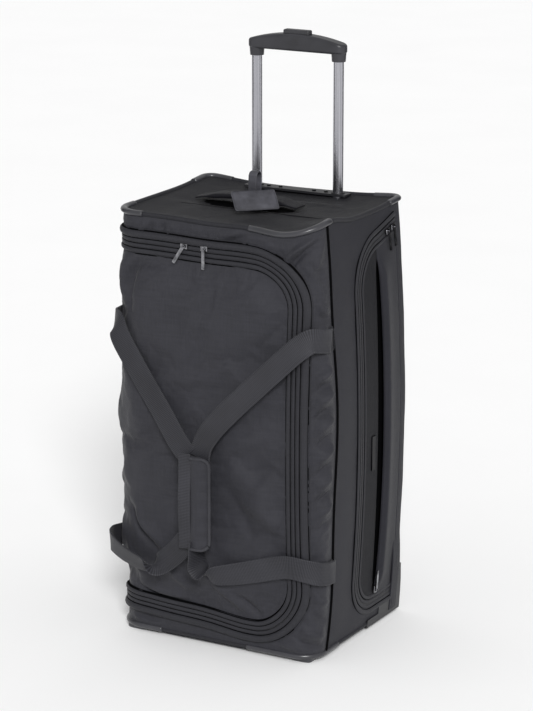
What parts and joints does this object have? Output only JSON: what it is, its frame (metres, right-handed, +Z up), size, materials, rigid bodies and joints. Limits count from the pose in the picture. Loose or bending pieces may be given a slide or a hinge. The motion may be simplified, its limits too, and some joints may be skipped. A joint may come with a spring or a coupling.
{
  "type": "rolling duffel bag",
  "caption": "Upright wheeled fabric duffel with a telescopic handle, a large front zip flap, a side door, wrapped carrying straps and a blank luggage tag.",
  "frame": {"origin": "on the floor under the middle of the bounding box, the bag standing upright on its two wheels and two front feet", "axes": "+Z up along the height, -Y the front with the large zip flap, +X the side with the door"},
  "size_m": [0.405, 0.3588, 0.964],
  "materials": {
    "shell_fabric": "coarse nylon weave over stiff board, satin",
    "soft_fabric": "fine nylon twill, soft, slightly glossy",
    "webbing": "ribbed nylon webbing",
    "zip_tape": "woven zip tape and spiral coil",
    "lining": "thin woven lining",
    "guard_plastic": "moulded, dark grey, semi gloss",
    "grip_plastic": "fine grained soft touch",
    "button_plastic": "fine grained",
    "inner_plastic": "plain moulded",
    "tube_metal": "satin anodised, drawn",
    "steel": "zinc plated",
    "slider_metal": "gunmetal plated",
    "plate_metal": "black, satin",
    "wheel_rubber": "matt tread",
    "wheel_plastic": "moulded",
    "tag_leather": "fine grained, stitched edge"
  },
  "bodies": {
    "root": {"top_panel": "shell_fabric", "bottom_board": "shell_fabric", "back_board": "shell_fabric", "left_side_board": "shell_fabric", "right_side_board": "shell_fabric", "divider_panel": "lining", "left_gusset": "soft_fabric", "right_gusset": "soft_fabric", "front_surround": "soft_fabric", "front_flap": "soft_fabric", "front_zip": "zip_tape", "top_corner_guards": "guard_plastic", "bottom_corner_guards": "guard_plastic", "edge_piping": "soft_fabric", "wheel_housing_left": "guard_plastic", "wheel_housing_right": "guard_plastic", "wheel_axles": "steel", "case_screws": "steel", "outer_tubes": "tube_metal", "tube_bushes": "inner_plastic", "handle_bezel": "grip_plastic", "tube_bracket": "inner_plastic", "door_zip_outer": "zip_tape", "strap_anchors": "webbing", "upper_strap": "webbing", "lower_strap": "webbing", "grab_handle": "soft_fabric", "tag_loop": "tag_leather"},
    "handle": {"inner_tube_left": "tube_metal", "inner_tube_right": "tube_metal", "tube_end_plugs": "inner_plastic", "grip_lower": "grip_plastic", "grip_upper": "grip_plastic", "return_springs": "steel"},
    "button": {"push_button": "button_plastic", "push_yoke": "inner_plastic"},
    "pin_left": {"lock_pin_left": "steel"},
    "pin_right": {"lock_pin_right": "steel"},
    "wheel_left": {"tyre_left": "wheel_rubber", "rim_left": "wheel_plastic", "bearings_left": "steel"},
    "wheel_right": {"tyre_right": "wheel_rubber", "rim_right": "wheel_plastic", "bearings_right": "steel"},
    "side_door": {"door_panel": "shell_fabric", "pocket_liner": "lining", "door_zip_inner": "zip_tape", "nameplate": "plate_metal"},
    "front_slider_left": {"front_slider_left": "slider_metal"},
    "front_pull_left": {"front_pull_left": "slider_metal"},
    "front_slider_right": {"front_slider_right": "slider_metal"},
    "front_pull_right": {"front_pull_right": "slider_metal"},
    "door_slider_front": {"door_slider_front": "slider_metal"},
    "door_pull_front": {"door_pull_front": "slider_metal"},
    "door_slider_rear": {"door_slider_rear": "slider_metal"},
    "door_pull_rear": {"door_pull_rear": "slider_metal"},
    "pocket_slider": {"pocket_slider": "slider_metal"},
    "pocket_pull": {"pocket_pull": "slider_metal"},
    "luggage_tag": {"luggage_tag": "tag_leather"},
    "carry_grip": {"carry_wrap": "soft_fabric"}
  },
  "joints": [
    {"name": "handle_slide", "type": "slide", "parent": "root", "child": "handle", "axis": [0, 0, 1], "range_m": [-0.208, 0]},
    {"name": "button_press", "type": "slide", "parent": "handle", "child": "button", "axis": [0, 0, -1], "range_m": [0, 0.004], "stiffness_N_per_m": 400, "springref_m": -0.004, "deforming": ["return_springs"]},
    {"name": "lock_pin_left", "type": "slide", "parent": "handle", "child": "pin_left", "axis": [1, 0, 0], "range_m": [0, 0.003]},
    {"name": "lock_pin_right", "type": "slide", "parent": "handle", "child": "pin_right", "axis": [-1, 0, 0], "range_m": [0, 0.003]},
    {"name": "wheel_left", "type": "hinge", "parent": "root", "child": "wheel_left", "pos_m": [-0.138, 0.143, 0.035], "axis": [1, 0, 0], "continuous": true},
    {"name": "wheel_right", "type": "hinge", "parent": "root", "child": "wheel_right", "pos_m": [0.138, 0.143, 0.035], "axis": [1, 0, 0], "continuous": true},
    {"name": "side_door", "type": "hinge", "parent": "root", "child": "side_door", "pos_m": [0.1982, 0.1415, 0.35], "axis": [0, 0, 1], "range_deg": [0, 100]},
    {"name": "front_slider_left", "type": "slide", "parent": "root", "child": "front_slider_left", "axis": [1, 0, 0], "range_m": [-0.085, 0]},
    {"name": "front_pull_left", "type": "hinge", "parent": "front_slider_left", "child": "front_pull_left", "pos_m": [-0.046, -0.12607, 0.658], "axis": [0, 1, 0], "range_deg": [-85, 45]},
    {"name": "front_slider_right", "type": "slide", "parent": "root", "child": "front_slider_right", "axis": [1, 0, 0], "range_m": [0, 0.08]},
    {"name": "front_pull_right", "type": "hinge", "parent": "front_slider_right", "child": "front_pull_right", "pos_m": [-0.01, -0.12607, 0.658], "axis": [0, 1, 0], "range_deg": [-60, 60]},
    {"name": "door_slider_front", "type": "slide", "parent": "side_door", "child": "door_slider_front", "axis": [0, 0.9786, 0.2057], "range_m": [-0.03, 0]},
    {"name": "door_pull_front", "type": "hinge", "parent": "door_slider_front", "child": "door_pull_front", "pos_m": [0.18563, 0.108, 0.66185], "axis": [1, 0, 0], "range_deg": [-50, 18]},
    {"name": "door_slider_rear", "type": "slide", "parent": "side_door", "child": "door_slider_rear", "axis": [0, 0.9786, 0.2057], "range_m": [0, 0.006]},
    {"name": "door_pull_rear", "type": "hinge", "parent": "door_slider_rear", "child": "door_pull_rear", "pos_m": [0.18528, 0.126, 0.66564], "axis": [1, 0, 0], "range_deg": [-18, 40]},
    {"name": "pocket_slider", "type": "slide", "parent": "side_door", "child": "pocket_slider", "axis": [0.0689, 0, 0.9976], "range_m": [0, 0.09]},
    {"name": "pocket_pull", "type": "hinge", "parent": "pocket_slider", "child": "pocket_pull", "pos_m": [0.18669, 0.074, 0.07], "axis": [0.9976, 0, -0.0689], "range_deg": [-150, 150]},
    {"name": "luggage_tag", "type": "hinge", "parent": "root", "child": "luggage_tag", "pos_m": [0.003, 0, 0.728], "axis": [-0.7193, -0.6947, 0], "range_deg": [0, 80]},
    {"name": "carry_grip", "type": "slide", "parent": "root", "child": "carry_grip", "axis": [0, -1, 0], "range_m": [0, 0.07], "deforming": ["upper_strap", "lower_strap"]}
  ],
  "couplings": [
    {"joint": "lock_pin_left", "follows": "button_press", "ratio": 0.75},
    {"joint": "lock_pin_right", "follows": "button_press", "ratio": 0.75}
  ]
}
